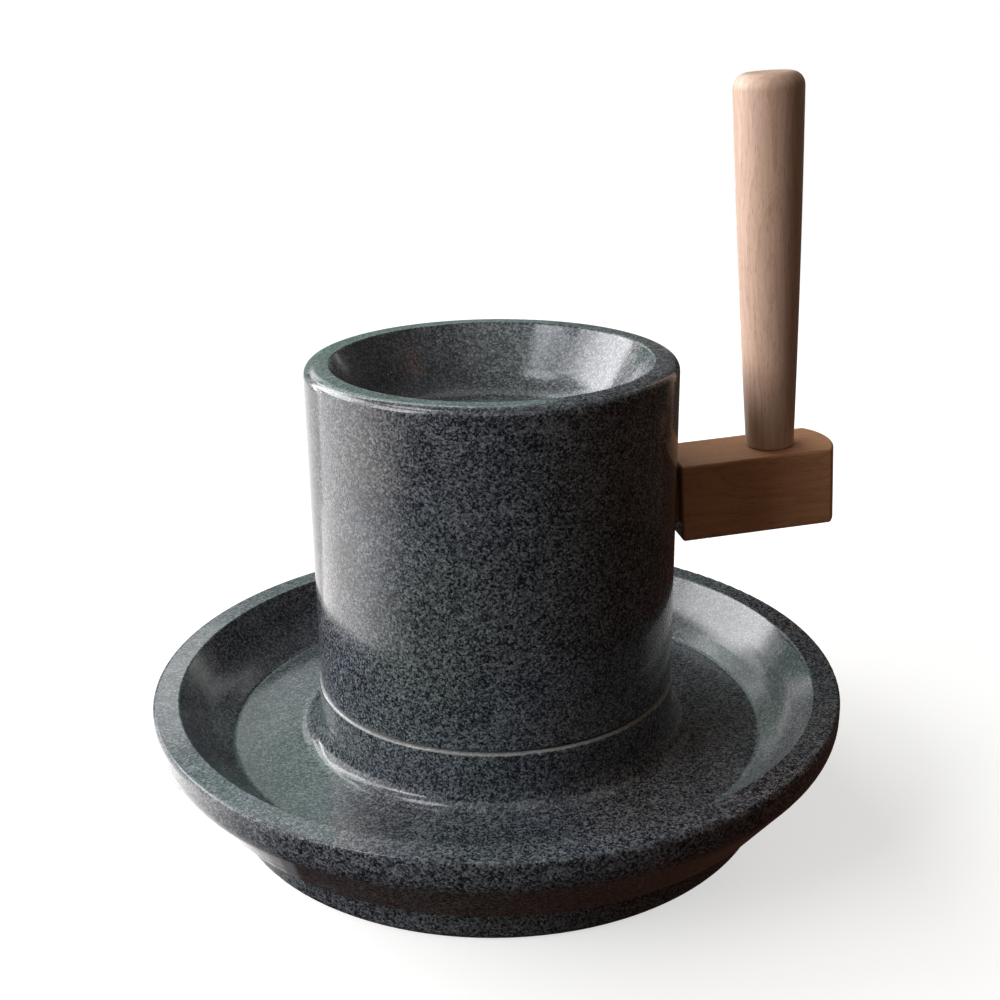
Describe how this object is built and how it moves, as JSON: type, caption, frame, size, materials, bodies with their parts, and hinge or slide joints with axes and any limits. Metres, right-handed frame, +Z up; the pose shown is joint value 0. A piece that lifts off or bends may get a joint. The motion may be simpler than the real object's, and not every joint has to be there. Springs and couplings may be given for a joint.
{
  "type": "matcha stone mill",
  "caption": "Hand cranked stone mill with a round tray, a dished upper stone that turns on a spindle, and a side arm with an upright wooden grip.",
  "frame": {"origin": "centre of the foot's flat underside, on the spindle's axis", "axes": "+Z up along the spindle, +X out along the crank arm"},
  "size_m": [0.2338, 0.2324, 0.2404],
  "materials": {
    "granite": "polished, fine dark grey speckle",
    "hardwood": "bare, turned",
    "spindle_steel": "ground rod",
    "arm_wood": "planed beech, thin oil",
    "grip_wood": "turned and sanded beech, thin oil"
  },
  "bodies": {
    "base": {"base_stone": "granite", "spindle_plug": "hardwood"},
    "spindle": {"spindle": "spindle_steel"},
    "runner": {"upper_stone": "granite", "eye_bush": "hardwood"},
    "crank": {"crank_arm": "arm_wood"},
    "grip": {"grip": "grip_wood"}
  },
  "joints": [
    {"name": "runner_lift", "type": "slide", "parent": "base", "child": "spindle", "axis": [0, 0, 1], "range_m": [0, 0.04]},
    {"name": "runner_turn", "type": "hinge", "parent": "spindle", "child": "runner", "pos_m": [0, 0, 0.0453], "axis": [0, 0, 1], "continuous": true},
    {"name": "arm_pull", "type": "slide", "parent": "runner", "child": "crank", "axis": [0.9983, 0, 0.0576], "range_m": [0, 0.04]},
    {"name": "grip_turn", "type": "hinge", "parent": "crank", "child": "grip", "pos_m": [0.09514, 0, 0.11916], "axis": [-0.0576, 0, 0.9983], "continuous": true}
  ]
}
